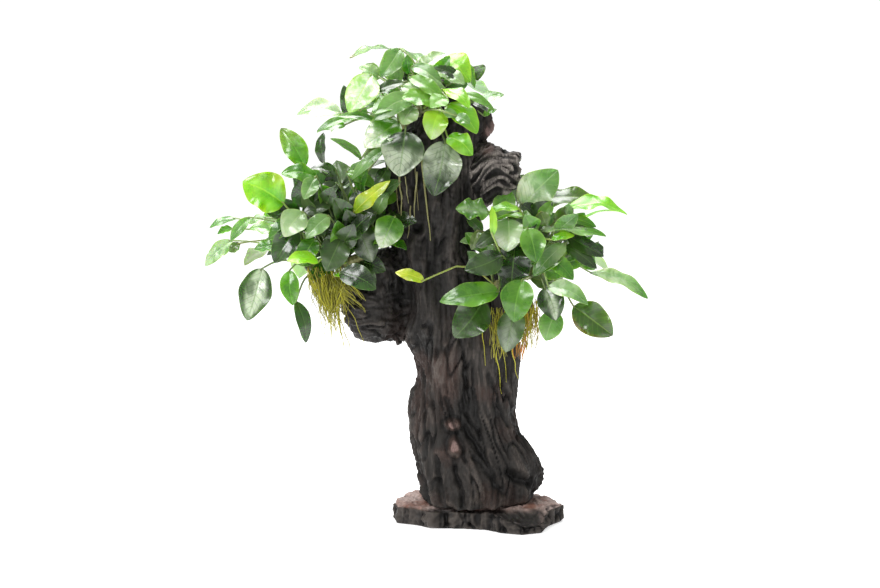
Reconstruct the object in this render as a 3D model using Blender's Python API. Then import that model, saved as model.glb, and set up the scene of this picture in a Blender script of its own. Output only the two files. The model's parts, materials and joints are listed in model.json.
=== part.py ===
"""Anubias plants on a driftwood tree that stands on a stone slab.

Millimetres in the tables, metres in the scene. X is the tree's width, -Y its front, Z is up.
The origin is on the slab's underside.
"""
import math

import bmesh
import bpy
from mathutils import Vector
from mathutils.bvhtree import BVHTree

MM = 0.001
GAP = 0.3

SLAB_TOP = 17.0
WOOD_SIDES = 18
LIMB_SIDES = 14
ROOT_SIDES = 8

RHIZOME_RADIUS = 4.5
SHOOT_RADIUS = 3.0
STALK_RADIUS = 0.8
BLADE_THICKNESS = 0.8
BLADE_CUP = 0.16
BLADE_ARCH = 0.10

# share of the blade's length, share of its half width
BLADE_PROFILE = ((0.13, 0.66), (0.38, 1.0), (0.66, 0.82), (0.87, 0.42))
SMALL_PROFILE = ((0.2, 0.8), (0.5, 1.0), (0.8, 0.55))

# slab outline seen from above, going round from its left end
SLAB_OUTLINE = (
    (-72, -4), (-69, -24), (-52, -31), (-40, -41), (-12, -43), (8, -47), (20, -57), (38, -63),
    (55, -56), (61, -36), (74, -18), (71, 2), (60, 14), (46, 32), (22, 48), (-10, 52), (-36, 44),
    (-54, 28), (-66, 14),
)

# rings of wood: height, centre x, centre y, half width, half depth
TRUNK_RINGS = (
    (17.3, 2, 0, 47, 36), (28, 3.5, 0, 50, 37), (40, 3, 0, 53, 37), (58, -2, 0, 51.5, 36),
    (75, -8, 0, 47.5, 34), (92, -11, 0, 45.5, 33), (111, -9.5, 0, 44.5, 33), (123, -7.5, 0, 42.5, 33),
    (136, -7.5, 0, 43, 33), (150, -11, 0, 46, 34), (164.85, -16, 0, 48.5, 34),
)
STEM_RINGS = (
    (165.15, -16, 0, 48.5, 34), (180, -22, 0, 41, 33), (194, -25, 0, 37, 32), (207, -27.5, 0, 35, 31),
    (219, -32, 0, 33, 30), (232, -37, 0, 33.5, 30), (248, -36.5, 0, 36, 30), (262, -37.5, 0, 39, 31),
    (276, -38.5, 0, 39.5, 31), (292, -38, 0, 40, 30), (308, -37, 0, 38, 29), (322, -33, 0, 35.5, 27),
    (334, -25, 0, 35.5, 25), (346, -20.5, 0, 31, 22), (356, -20.5, 0, 23, 18), (367, -25, 0, 12.5, 11),
    (371, -27, 0, 5, 5),
)
KNOB_RINGS = (
    (272, -3, -4, 7, 9), (277, 4, -4, 16, 17), (284, 10, -4, 21, 22), (292, 11.5, -4, 23, 24),
    (300, 12, -4, 22.5, 24), (308, 12, -4, 22, 22), (316, 10, -4, 20, 18), (322, 4, -4, 12, 11),
)
LEFT_LIMB_RINGS = (
    (154, -76, -2, 10, 12), (159, -81, -2, 21, 20), (168, -84, -2, 26, 25), (179, -86, -2, 26, 28),
    (190, -86, -2, 26, 29), (203, -84, -2, 26, 28), (214, -80, -2, 24, 25), (223, -76, -2, 19, 19),
    (230, -73, -2, 10, 10),
)
RIGHT_LIMB_RINGS = (
    (158, 20, 0, 12, 12), (168, 24, 0, 18, 18), (182, 27, 0, 21, 21), (196, 26, 0, 21, 21),
    (206, 22, 0, 17, 17), (212, 18, 0, 9, 9),
)

# rhizomes: the points that each runs through, from its cut end to its growing tip
RHIZOMES = {
    "top": ((-73, -30, 330), (-60, -34, 342), (-46, -32, 352), (-38, -30, 364)),
    "left": ((-143, -24, 219), (-124, -30, 223), (-107, -34, 226), (-92, -36, 232)),
    "right": ((14, -36, 206), (28, -40, 212), (42, -37, 216), (52, -32, 222)),
}
SIDE_SHOOTS = {
    "top": ((-58, -16, 352), (-50, -22, 372)),
    "left": ((-132, -12, 229), (-112, -12, 242)),
    "right": ((30, -24, 224), (44, -18, 230)),
}

# root tufts: height, centre x, centre y, half width, half depth of each ring, then the tip
ROOT_RINGS = {
    "top": ((322, -57, -40, 15, 2.5), (300, -54, -38, 16, 2), (270, -52, -37, 14, 1.6),
            (248, -50, -37, 9, 1.2)),
    "left": ((212, -121, -30, 17, 9), (200, -122, -32, 18, 11), (184, -119, -34, 13, 9), (166, -117, -36, 5, 5),
             (150, -108, -37, 2.5, 2.5)),
    "right": ((196, 34, -42, 18, 3), (178, 38, -44, 17, 6), (160, 37, -44, 14, 5), (140, 26, -43, 8, 3),
              (124, 21, -41, 5, 2)),
}
ROOT_TIPS = {"top": (-48, -37, 238), "left": (-103, -38, 130), "right": (19, -40, 108)}

# one leaf a row: foot of the blade x y z, tip x y z, width,
# then how far the face leans to the front (0 up, 1 front) and to the right, and the age of the leaf
LEAVES = {
    "top": (
        (-67, 10, 399, -107, 5, 395, 24, 0.05, 0.0, "pale"),
        (-87, -35, 380, -105, -50, 350, 27, 0.85, -0.2, "lime"),
        (-113, -20, 348, -150, -15, 348, 22, 0.45, 0.0, "pale"),
        (-65, -44, 342, -92, -62, 323, 27, 0.6, -0.1, "mid"),
        (-31, -55, 352, -38, -66, 330, 21, 0.85, 0.0, "lime"),
        (-28, -40, 369, -7, -58, 355, 17, 0.4, 0.2, "lime"),
        (-25, -48, 357, -1, -62, 334, 24, 0.6, 0.3, "lime"),
        (-25, -60, 331, -5, -70, 319, 18, 0.7, 0.1, "lime"),
        (-59, -56, 335, -64, -72, 300, 35, 0.85, 0.0, "dark"),
        (-27, -58, 327, -36, -70, 284, 32, 0.9, 0.1, "dark"),
        (-1, -5, 355, 22, 0, 364, 14, 0.3, 0.2, "pale"),
        (-26, 0, 394, -7, -20, 376, 23, 0.7, 0.3, "lime"),
        (-49, -5, 383, -27, 0, 397, 17, 0.5, 0.0, "pale"),
        (-66, -15, 372, -71, -10, 397, 18, 0.75, -0.2, "pale"),
    ),
    "left": (
        (-159, -45, 275, -192, -50, 294, 33, 0.75, 0.0, "lime"),
        (-144, -10, 303, -164, -5, 335, 20, 0.8, 0.0, "mid"),
        (-128, -5, 305, -130, 0, 331, 13, 0.5, -0.7, "dark"),
        (-132, -35, 296, -161, -42, 300, 18, 0.5, 0.0, "mid"),
        (-143, -50, 269, -158, -60, 250, 22, 0.75, 0.0, "pale"),
        (-99, -38, 256, -87, -46, 227, 23, 0.85, 0.0, "dark"),
        (-68, -48, 265, -79, -60, 241, 24, 0.8, 0.1, "mid"),
        (-102, -45, 268, -72, -58, 295, 13, 0.6, 0.2, "lime"),
        (-102, -20, 280, -73, -25, 301, 20, 0.5, 0.0, "dark"),
        (-113, -10, 287, -75, -15, 309, 15, 0.4, 0.0, "dark"),
        (-178, -40, 221, -190, -50, 179, 27, 0.85, -0.1, "dark"),
        (-155, -45, 220, -152, -52, 192, 16, 0.85, 0.0, "mid"),
        (-151, -30, 192, -142, -35, 158, 13, 0.8, 0.2, "dark"),
        (-130, -60, 229, -155, -68, 231, 16, 0.4, 0.0, "lime"),
        (-205, -20, 242, -227, -25, 221, 14, 0.7, 0.0, "pale"),
        (-150, -42, 255, -167, -50, 227, 22, 0.8, 0.0, "dark"),
    ),
    "right": (
        (36, -15, 271, 67, -20, 301, 31, 0.8, 0.0, "pale"),
        (50, -5, 274, 100, -10, 275, 22, 0.35, 0.0, "dark"),
        (76, -25, 270, 124, -32, 269, 22, 0.35, 0.0, "lime"),
        (52, -35, 252, 106, -42, 249, 22, 0.3, 0.0, "mid"),
        (9, -55, 269, -18, -62, 273, 20, 0.55, 0.0, "mid"),
        (25, -48, 263, 24, -62, 238, 29, 0.7, 0.0, "pale"),
        (40, -62, 257, 47, -72, 230, 21, 0.8, 0.1, "mid"),
        (31, -40, 241, 27, -50, 206, 30, 0.85, 0.0, "dark"),
        (17, -62, 205, -31, -72, 199, 22, 0.6, 0.0, "mid"),
        (5, -50, 196, -19, -62, 167, 30, 0.85, 0.0, "dark"),
        (36, -65, 215, 29, -75, 182, 27, 0.85, 0.0, "mid"),
        (55, -55, 207, 64, -62, 181, 22, 0.85, 0.0, "dark"),
        (57, -68, 210, 89, -76, 197, 18, 0.5, 0.0, "pale"),
        (95, -20, 215, 144, -25, 196, 16, 0.4, 0.0, "pale"),
        (79, -50, 191, 111, -58, 168, 27, 0.85, 0.1, "dark"),
    ),
}

# the leaves of the side shoots, in the same order of numbers without the age
SMALL_LEAVES = {
    "top": (
        (-104, -10, 346, -107, -10, 372, 14, 0.3, -0.8), (-109, -30, 339, -132, -35, 333, 12, 0.4, 0.0),
        (-96, -25, 311, -121, -35, 328, 8, 0.2, 0.0), (-62, -45, 359, -85, -60, 349, 18, 0.45, 0.0),
        (-52, -50, 355, -62, -58, 341, 16, 0.6, 0.0), (-36, -30, 359, -62, -38, 362, 18, 0.5, 0.0),
        (-25, -42, 362, -39, -50, 355, 14, 0.5, 0.0), (5, -10, 346, 16, -10, 351, 7, 0.4, 0.0),
        (-4, -30, 357, 8, -34, 350, 7, 0.4, 0.2), (-18, 8, 391, -2, 4, 368, 18, 0.5, 0.5),
        (-34, -15, 381, -11, -28, 373, 15, 0.4, 0.0), (-54, -25, 387, -30, -38, 370, 14, 0.5, 0.0),
        (-61, -10, 375, -56, -10, 389, 11, 0.8, 0.0), (-82, -12, 378, -98, -8, 386, 12, 0.6, 0.0),
        (-62, -30, 363, -82, -36, 368, 12, 0.5, 0.0), (-56, -35, 378, -26, -46, 359, 12, 0.55, 0.0),
        (-28, -58, 351, -17, -58, 348, 8, 0.6, 0.0), (-18, -64, 348, -7, -68, 342, 9, 0.6, 0.0),
        (-70, 25, 365, -95, 55, 350, 26, -0.4, -0.2), (-45, 35, 375, -50, 75, 362, 28, -0.4, 0.0),
        (-15, 30, 372, 10, 62, 360, 24, -0.4, 0.2), (-85, 20, 340, -125, 40, 330, 24, -0.2, -0.2),
        (-50, 32, 390, -60, 58, 396, 20, -0.3, 0.0), (-25, 45, 345, -20, 72, 315, 28, -0.8, 0.0),
        (-62, 42, 338, -75, 68, 305, 28, -0.8, 0.0), (-5, 20, 385, 18, 30, 388, 20, -0.2, 0.2),
    ),
    "left": (
        (-130, -42, 293, -143, -50, 282, 12, 0.6, 0.0), (-124, -48, 266, -137, -56, 252, 11, 0.6, 0.0),
        (-124, -30, 271, -143, -30, 269, 12, 0.3, 0.0), (-110, -25, 262, -132, -30, 250, 18, 0.5, 0.0),
        (-110, -30, 252, -86, -30, 261, 16, 0.6, 0.0), (-113, -8, 240, -132, -14, 223, 20, 0.8, 0.0),
        (-75, -34, 320, -94, -38, 311, 12, 0.5, 0.0), (-203, -5, 259, -225, -8, 252, 11, 0.3, 0.0),
        (-205, -12, 251, -218, -12, 247, 8, 0.4, 0.0), (-189, -25, 262, -205, -30, 243, 9, 0.6, 0.0),
        (-197, -32, 241, -206, -32, 234, 8, 0.6, 0.0), (-168, -30, 250, -189, -30, 254, 12, 0.4, 0.0),
        (-164, -35, 240, -185, -35, 236, 13, 0.5, 0.0), (-138, -28, 243, -150, -35, 227, 17, 0.8, 0.0),
        (-113, -58, 220, -83, -66, 208, 19, 0.6, 0.0), (-177, -8, 260, -193, -8, 255, 10, 0.4, 0.0),
        (-116, -20, 297, -138, -20, 303, 12, 0.5, 0.0), (-109, -38, 279, -130, -38, 275, 12, 0.5, 0.0),
        (-105, -5, 287, -123, -5, 281, 14, 0.5, 0.0),
        (-120, 25, 255, -130, 60, 245, 28, -0.5, 0.0), (-150, 20, 260, -185, 40, 250, 26, -0.4, -0.2),
        (-95, 30, 245, -90, 64, 225, 26, -0.6, 0.1), (-140, 30, 225, -155, 62, 200, 26, -0.7, -0.1),
        (-115, 15, 280, -120, 35, 305, 22, -0.6, 0.0), (-165, 15, 235, -200, 30, 215, 22, -0.3, -0.3),
        (-120, 35, 205, -125, 60, 175, 24, -0.9, 0.0),
    ),
    "right": (
        (86, -5, 257, 122, -5, 265, 12, 0.05, 0.0), (60, -50, 246, 79, -50, 250, 9, 0.4, 0.0),
        (62, -20, 256, 83, -20, 261, 9, 0.3, 0.0), (52, -40, 268, 57, -40, 256, 10, 0.7, 0.0),
        (37, -25, 273, 48, -25, 261, 12, 0.5, 0.0), (12, -58, 251, 11, -58, 275, 6, 0.9, 0.2),
        (34, -35, 271, 17, -35, 266, 11, 0.4, 0.0), (48, -44, 260, 14, -44, 263, 10, 0.2, 0.0),
        (0, -45, 253, -5, -45, 237, 7, 0.7, 0.0), (10, -50, 253, 1, -50, 239, 9, 0.7, 0.0),
        (18, -52, 231, -12, -62, 227, 20, 0.7, 0.0), (31, -45, 190, 23, -50, 154, 20, 0.8, 0.0),
        (65, -48, 186, 56, -55, 163, 19, 0.8, 0.0), (72, -42, 240, 45, -55, 217, 17, 0.6, 0.0),
        (82, -18, 244, 107, -22, 224, 16, 0.5, 0.0), (81, -40, 235, 97, -40, 220, 14, 0.6, 0.0),
        (98, -25, 240, 105, -25, 231, 7, 0.5, 0.0), (-44, -70, 215, -67, -72, 222, 9, 0.7, 0.0),
        (35, 25, 245, 40, 62, 235, 28, -0.4, 0.0), (65, 20, 250, 98, 42, 245, 26, -0.3, 0.2),
        (12, 34, 240, 4, 66, 222, 24, -0.6, 0.0), (55, 28, 215, 70, 60, 190, 26, -0.7, 0.1),
        (80, 12, 225, 115, 28, 210, 22, -0.3, 0.2), (35, 15, 270, 40, 38, 292, 22, -0.6, 0.0),
        (34, 34, 195, 32, 62, 165, 24, -0.9, 0.0),
    ),
}

# colour, roughness
FINISHES = {
    "slab_stone": ((0.10, 0.075, 0.068), 0.6),
    "trunk_wood": ((0.045, 0.034, 0.030), 0.7),
    "rhizome_green": ((0.24, 0.30, 0.09), 0.5),
    "root_yellow": ((0.50, 0.42, 0.10), 0.7),
    "leaf_dark": ((0.035, 0.10, 0.035), 0.3),
    "leaf_mid": ((0.08, 0.26, 0.05), 0.3),
    "leaf_lime": ((0.28, 0.60, 0.03), 0.3),
    "leaf_pale": ((0.38, 0.52, 0.30), 0.3),
}


def clear_scene():
    """Empties the scene of objects."""
    for item in list(bpy.data.objects):
        bpy.data.objects.remove(item, do_unlink=True)


def material(name):
    """The Principled material of one slot, made once."""
    if name in bpy.data.materials:
        return bpy.data.materials[name]
    colour, roughness = FINISHES[name]
    made = bpy.data.materials.new(name)
    made.use_nodes = True
    shader = made.node_tree.nodes["Principled BSDF"]
    shader.inputs["Base Color"].default_value = (*colour, 1.0)
    shader.inputs["Roughness"].default_value = roughness
    shader.inputs["Metallic"].default_value = 0.0
    return made


def new_object(name, verts, faces, slot, home):
    """A mesh object from points in millimetres, with its faces turned outward."""
    mesh = bpy.data.meshes.new(name)
    mesh.from_pydata([tuple(Vector(v) * MM) for v in verts], [], faces)
    work = bmesh.new()
    work.from_mesh(mesh)
    bmesh.ops.recalc_face_normals(work, faces=work.faces)
    work.to_mesh(mesh)
    work.free()
    made = bpy.data.objects.new(name, mesh)
    made.data.materials.append(material(slot))
    home.objects.link(made)
    return made


def loft(rings, tip=None):
    """Points and faces of a closed body through rings that all have the same count of points."""
    count = len(rings[0])
    verts = [point for ring in rings for point in ring]
    faces = [tuple(range(count))]
    for row in range(len(rings) - 1):
        for i in range(count):
            j = (i + 1) % count
            faces.append((row * count + i, row * count + j, (row + 1) * count + j, (row + 1) * count + i))
    last = (len(rings) - 1) * count
    if tip is None:
        faces.append(tuple(range(last + count - 1, last - 1, -1)))
    else:
        verts.append(tip)
        faces += [(last + i, last + (i + 1) % count, len(verts) - 1) for i in range(count)]
    return verts, faces


def lobe(angle, height, seed, depth):
    """How far the wood stands in or out at an angle: ridges that wander slowly as they climb."""
    turn = seed + height * 0.006
    ridges = 0.5 * math.cos(3 * angle + turn) + 0.3 * math.cos(5 * angle - 1.7 * turn)
    return 1.0 + depth * (ridges + 0.2 * math.cos(8 * angle + 2.3 * turn) - 0.5)


def wood_ring(row, sides, seed, depth):
    """One ring of wood with its ridges."""
    height, middle_x, middle_y, half_width, half_depth = row
    ring = []
    for i in range(sides):
        angle = 2 * math.pi * i / sides
        reach = lobe(angle, height, seed, depth)
        # the widest points stay on the outline
        reach += (1.0 - reach) * abs(math.cos(angle)) ** 3
        ring.append(Vector((middle_x + half_width * reach * math.cos(angle),
                            middle_y + half_depth * reach * math.sin(angle), height)))
    return ring


def wood_piece(name, rows, sides, seed, home, depth=0.12):
    """A piece of the tree."""
    verts, faces = loft([wood_ring(row, sides, seed, depth) for row in rows])
    return new_object(name, verts, faces, "trunk_wood", home)


def trim_against(piece, others, cutters):
    """Cuts a piece back to a small gap from its neighbours."""
    for other in others:
        cutter = bpy.data.objects.new(f"{piece.name}_cut_{other.name}", other.data.copy())
        cutters.objects.link(cutter)
        cutter.hide_render = True
        cutter.display_type = "WIRE"
        swell = cutter.modifiers.new("gap", "DISPLACE")
        swell.strength = GAP * MM
        swell.mid_level = 0.0
        cut = piece.modifiers.new(f"clear_{other.name}", "BOOLEAN")
        cut.operation = "DIFFERENCE"
        cut.solver = "EXACT"
        cut.object = cutter


def build_slab(home):
    """The flat stone: its outline at four heights, with a worn upper edge."""
    levels = ((0.0, 0.985), (5.0, 1.0), (SLAB_TOP - 3.0, 0.985), (SLAB_TOP, 0.93))
    rings = [[Vector((x * share, y * share, z)) for x, y in SLAB_OUTLINE] for z, share in levels]
    verts, faces = loft(rings)
    return new_object("slab", verts, faces, "slab_stone", home)


def build_wood(home, cutters):
    """The tree, split at its forks."""
    trunk = wood_piece("trunk", TRUNK_RINGS, WOOD_SIDES, 0.4, home)
    stem = wood_piece("upper_stem", STEM_RINGS, WOOD_SIDES, 0.4, home)
    knob = wood_piece("knob", KNOB_RINGS, LIMB_SIDES, 2.1, home)
    left_limb = wood_piece("left_limb", LEFT_LIMB_RINGS, LIMB_SIDES, 4.0, home)
    right_limb = wood_piece("right_limb", RIGHT_LIMB_RINGS, LIMB_SIDES, 5.2, home)
    trim_against(knob, (stem,), cutters)
    trim_against(left_limb, (stem, trunk), cutters)
    trim_against(right_limb, (stem, trunk), cutters)
    return [trunk, stem, knob, left_limb, right_limb]


def build_rod(name, points, radius, slot, home):
    """A short rounded stem along a few points."""
    curve = bpy.data.curves.new(name, "CURVE")
    curve.dimensions = "3D"
    curve.bevel_depth = radius * MM
    curve.bevel_resolution = 2
    curve.use_fill_caps = True
    spline = curve.splines.new("POLY")
    spline.points.add(len(points) - 1)
    for i, point in enumerate(points):
        spline.points[i].co = (*(Vector(point) * MM), 1.0)
        spline.points[i].radius = 0.75 if i in (0, len(points) - 1) else 1.0
    made = bpy.data.objects.new(name, curve)
    curve.materials.append(material(slot))
    home.objects.link(made)
    return made


def build_roots(plant, home):
    """The outer shape of one tuft of roots, down to its lowest tip."""
    rings = []
    for height, middle_x, middle_y, half_width, half_depth in ROOT_RINGS[plant]:
        ring = []
        for i in range(ROOT_SIDES):
            angle = 2 * math.pi * i / ROOT_SIDES
            ring.append(Vector((middle_x + half_width * math.cos(angle),
                                middle_y + half_depth * math.sin(angle), height)))
        rings.append(ring)
    verts, faces = loft(rings, Vector(ROOT_TIPS[plant]))
    return new_object(f"{plant}_roots", verts, faces, "root_yellow", home)


def diamond(middle, side, up, half_width, half_thick, lift):
    """Four points round the middle: left edge, upper middle, right edge, lower middle."""
    edge = up * lift
    return [middle - side * half_width + edge, middle + up * half_thick,
            middle + side * half_width + edge, middle - up * half_thick]


def along(points, share):
    """The point at a share of a line through several points."""
    place = share * (len(points) - 1)
    i = min(int(place), len(points) - 2)
    return Vector(points[i]).lerp(Vector(points[i + 1]), place - i)


def leaf_shape(row, root, sway, profile, extra=0.0):
    """Points and faces of one leaf: a stalk from its root, then an arched blade cupped along its midrib."""
    foot = Vector(row[0:3])
    tip = Vector(row[3:6])
    width, front, right = row[6:9]
    line = tip - foot
    length = line.length
    ahead = line.normalized()
    face = Vector((right, -front, 1.0 - abs(front))).normalized()
    side = ahead.cross(face).normalized()
    up = side.cross(ahead)
    bend = root.lerp(foot, 0.55) + sway
    thick = STALK_RADIUS + extra
    rises = (bend - root).normalized()
    reaches = (foot - bend).normalized()
    rings = []
    ways = (rises, (rises + reaches).normalized(), (reaches + ahead).normalized())
    for place, way in zip((root, bend, foot), ways):
        turn = ahead.rotation_difference(way)
        rings.append(diamond(place, turn @ side, turn @ up, thick, thick, 0.0))
    for share, spread in profile:
        arch = BLADE_ARCH * length * 4 * share * (1 - share)
        half = width / 2 * spread
        place = foot + line * share + up * arch
        rings.append(diamond(place, side, up, half + extra, BLADE_THICKNESS / 2 + extra, half * BLADE_CUP))
    return loft(rings, tip + ahead * extra)


def tree_of(shape):
    """A search tree of a body's faces."""
    verts, faces = shape
    return BVHTree.FromPolygons([tuple(v) for v in verts], faces)


def object_tree(item):
    """A search tree of a finished object, in millimetres."""
    evaluated = item.evaluated_get(bpy.context.evaluated_depsgraph_get())
    mesh = evaluated.to_mesh()
    verts = [tuple(item.matrix_world @ v.co / MM) for v in mesh.vertices]
    faces = [tuple(p.vertices) for p in mesh.polygons]
    evaluated.to_mesh_clear()
    return BVHTree.FromPolygons(verts, faces)


def tries():
    """Ways to clear a neighbour, the smallest first: a shift in depth, then a sway of the stalk."""
    sways = [Vector((0, 0, 6)), Vector((0, -7, 2)), Vector((0, 7, 2)), Vector((7, 0, 2)), Vector((-7, 0, 2)),
             Vector((0, -14, 0)), Vector((0, 14, 0)), Vector((12, 0, -6)), Vector((-12, 0, -6)),
             Vector((0, 0, 14)), Vector((0, 0, -10)), Vector((0, -22, -4)), Vector((0, 22, 4))]
    for shift in (0, -3, 3, -6, 6, -9, 9, -13, 13, -17, 17, -22, 22):
        for sway in sways:
            yield Vector((0, shift, 0)), sway


def place_leaf(row, axis, radius, order, profile, blocked):
    """The first way of growing a leaf that keeps clear of everything placed before it."""
    for shift, sway in tries():
        moved = list(row)
        moved[1] += shift.y
        moved[4] += shift.y
        for slide in (0.0, 0.12, -0.12, 0.25, -0.25):
            share = min(max(order + slide, 0.03), 0.97)
            seat = along(axis, share)
            out = (Vector(moved[0:3]) + sway * 1.5 - seat).normalized()
            root = seat + out * radius
            swollen = leaf_shape(moved, root, sway, profile, GAP)
            found = tree_of(swollen)
            if not any(found.overlap(other) for other in blocked):
                return leaf_shape(moved, root, sway, profile), found
    raise ValueError(f"no room for the leaf at {row[0:3]}")


def shares_along(rows):
    """Where each leaf leaves the rhizome: in the order in which they spread from left to right."""
    order = sorted(range(len(rows)), key=lambda i: rows[i][0])
    return {i: 0.05 + 0.9 * place / (len(rows) - 1) for place, i in enumerate(order)}


def build_leaves(plant, axis, home, blocked):
    """The named leaves of one plant, and their search trees."""
    rows = LEAVES[plant]
    shares = shares_along(rows)
    placed = []
    for i, row in enumerate(rows):
        shape, found = place_leaf(row, axis, RHIZOME_RADIUS + 1.6, shares[i], BLADE_PROFILE,
                                  blocked + placed)
        new_object(f"{plant}_leaf_{i + 1:02d}", *shape, f"leaf_{row[9]}", home)
        placed.append(found)
    return placed


def blade_of(shape):
    """The blade of a small leaf without its stalk, so that its sisters' stalks may pass it closely."""
    verts, faces = shape
    return tree_of((verts, [face for face in faces if min(face) >= 8]))


def build_side_shoot(plant, stem, home, cutters, blocked):
    """A side shoot grown as one piece with its leaves, and its search tree."""
    verts = []
    faces = []
    rows = SMALL_LEAVES[plant]
    shares = shares_along(rows)
    blades = []
    for i, row in enumerate(rows):
        shape, _ = place_leaf(row, SIDE_SHOOTS[plant], 0.0, shares[i], SMALL_PROFILE, blocked + blades)
        faces += [tuple(v + len(verts) for v in face) for face in shape[1]]
        verts += shape[0]
        blades.append(blade_of(shape))
    grown = new_object(f"{plant}_shoot_leaves", verts, faces, "leaf_mid", cutters)
    grown.hide_render = True
    grown.display_type = "WIRE"
    core = bpy.data.meshes.new_from_object(stem.evaluated_get(bpy.context.evaluated_depsgraph_get()))
    bpy.data.objects.remove(stem, do_unlink=True)
    shoot = bpy.data.objects.new(f"{plant}_side_shoot", core)
    home.objects.link(shoot)
    join = shoot.modifiers.new("leaves", "BOOLEAN")
    join.operation = "UNION"
    join.solver = "EXACT"
    join.use_self = True
    join.object = grown
    bpy.context.view_layer.update()
    return object_tree(shoot)


def main():
    """Builds the whole object."""
    clear_scene()
    home = bpy.data.collections.new("anubias_tree")
    cutters = bpy.data.collections.new("cutters")
    bpy.context.scene.collection.children.link(home)
    bpy.context.scene.collection.children.link(cutters)
    build_slab(home)
    wood = build_wood(home, cutters)
    bpy.context.view_layer.update()
    blocked = [object_tree(piece) for piece in wood]
    for plant, axis in RHIZOMES.items():
        rod = build_rod(f"{plant}_rhizome", axis, RHIZOME_RADIUS, "rhizome_green", home)
        roots = build_roots(plant, home)
        blocked += [object_tree(rod), object_tree(roots)]
    shoots = {plant: build_rod(f"{plant}_shoot_stem", axis, SHOOT_RADIUS, "leaf_mid", home)
              for plant, axis in SIDE_SHOOTS.items()}
    shoot_trees = {plant: object_tree(stem) for plant, stem in shoots.items()}
    for plant, axis in RHIZOMES.items():
        blocked += build_leaves(plant, axis, home, blocked + list(shoot_trees.values()))
    for plant, stem in shoots.items():
        others = [tree for name, tree in shoot_trees.items() if name != plant]
        blocked.append(build_side_shoot(plant, stem, home, cutters, blocked + others))


main()
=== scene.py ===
import json
import math
import random

import bmesh
import bpy
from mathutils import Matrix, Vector, noise
from mathutils.bvhtree import BVHTree


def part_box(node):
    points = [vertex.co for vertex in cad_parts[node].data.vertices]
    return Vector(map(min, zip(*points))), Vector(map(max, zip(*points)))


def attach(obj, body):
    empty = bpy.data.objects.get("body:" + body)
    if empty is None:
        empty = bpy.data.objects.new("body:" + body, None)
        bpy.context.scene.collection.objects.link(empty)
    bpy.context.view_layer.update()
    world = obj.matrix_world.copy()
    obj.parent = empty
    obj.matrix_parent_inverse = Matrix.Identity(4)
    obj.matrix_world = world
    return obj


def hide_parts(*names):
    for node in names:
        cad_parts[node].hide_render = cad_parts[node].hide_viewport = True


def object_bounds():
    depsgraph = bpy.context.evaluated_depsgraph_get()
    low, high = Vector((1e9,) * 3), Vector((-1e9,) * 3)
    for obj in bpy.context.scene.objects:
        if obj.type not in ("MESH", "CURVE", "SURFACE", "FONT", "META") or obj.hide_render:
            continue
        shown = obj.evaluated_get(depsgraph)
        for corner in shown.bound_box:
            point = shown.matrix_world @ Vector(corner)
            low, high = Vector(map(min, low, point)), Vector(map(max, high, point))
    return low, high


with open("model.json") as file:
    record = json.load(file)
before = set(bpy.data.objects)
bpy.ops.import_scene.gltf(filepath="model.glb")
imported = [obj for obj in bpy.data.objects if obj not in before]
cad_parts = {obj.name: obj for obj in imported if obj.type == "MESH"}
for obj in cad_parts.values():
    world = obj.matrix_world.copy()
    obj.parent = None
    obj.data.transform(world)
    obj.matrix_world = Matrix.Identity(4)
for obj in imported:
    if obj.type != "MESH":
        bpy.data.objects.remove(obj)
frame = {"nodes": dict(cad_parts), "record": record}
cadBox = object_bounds()
slotOf = {part["node"]: part["material_slot"] for part in frame["record"]["subparts"]}
plants = ("top", "left", "right")
mm = 0.001


def smoothStep(low, high, value):
    share = min(max((value - low) / (high - low), 0.0), 1.0)
    return share * share * (3 - 2 * share)


def noiseAt(x, y, z):
    return noise.noise(Vector((x, y, z)))


def addObject(name, mesh, materials):
    made = bpy.data.objects.new(name, mesh)
    for one in materials:
        mesh.materials.append(one)
    bpy.context.scene.collection.objects.link(made)
    return made


# marks give three numbers at each point, for a material to read
def finishMesh(mesh, marks):
    for name, rows in marks.items():
        layer = mesh.attributes.new(name, "FLOAT_VECTOR", "POINT")
        layer.data.foreach_set("vector", [c for row in rows for c in row])
    mesh.shade_smooth()


def meshFrom(name, verts, faces, marks):
    mesh = bpy.data.meshes.new(name)
    mesh.from_pydata(verts, [], faces)
    finishMesh(mesh, marks)
    return mesh


# the faces between rings of points
def ringFaces(rings, size):
    return [(i * size + k, i * size + (k + 1) % size, (i + 1) * size + (k + 1) % size, (i + 1) * size + k)
            for i in range(rings - 1) for k in range(size)]


# a tube through points, with a radius at each, closed at both ends
def tube(points, radii, sides):
    verts = []
    ahead = (points[1] - points[0]).normalized()
    side = ahead.orthogonal().normalized()
    for i, point in enumerate(points):
        way = (points[min(i + 1, len(points) - 1)] - points[max(i - 1, 0)]).normalized()
        side = (side - way * side.dot(way)).normalized()
        up = way.cross(side)
        for k in range(sides):
            angle = 2 * math.pi * k / sides
            verts.append(point + (side * math.cos(angle) + up * math.sin(angle)) * radii[i])
    last = (len(points) - 1) * sides
    ends = [tuple(range(sides - 1, -1, -1)), tuple(range(last, last + sides))]
    return verts, ringFaces(len(points), sides) + ends


def curvePoint(a, b, c, d, share):
    return (b * 2 + (c - a) * share + (a * 2 - b * 5 + c * 4 - d) * share ** 2
            + (b * 3 - a - c * 3 + d) * share ** 3) * 0.5


# a smooth line of count points through a few points
def smoothLine(points, count):
    held = [points[0] * 2 - points[1], *points, points[-1] * 2 - points[-2]]
    line = []
    for i in range(count):
        place = i / (count - 1) * (len(points) - 1)
        k = min(int(place), len(points) - 2)
        line.append(curvePoint(*held[k:k + 4], place - k))
    return line


def newMaterial(name):
    made = bpy.data.materials.new(name)
    made.use_nodes = True
    return made, made.node_tree, made.node_tree.nodes["Principled BSDF"]


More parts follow.
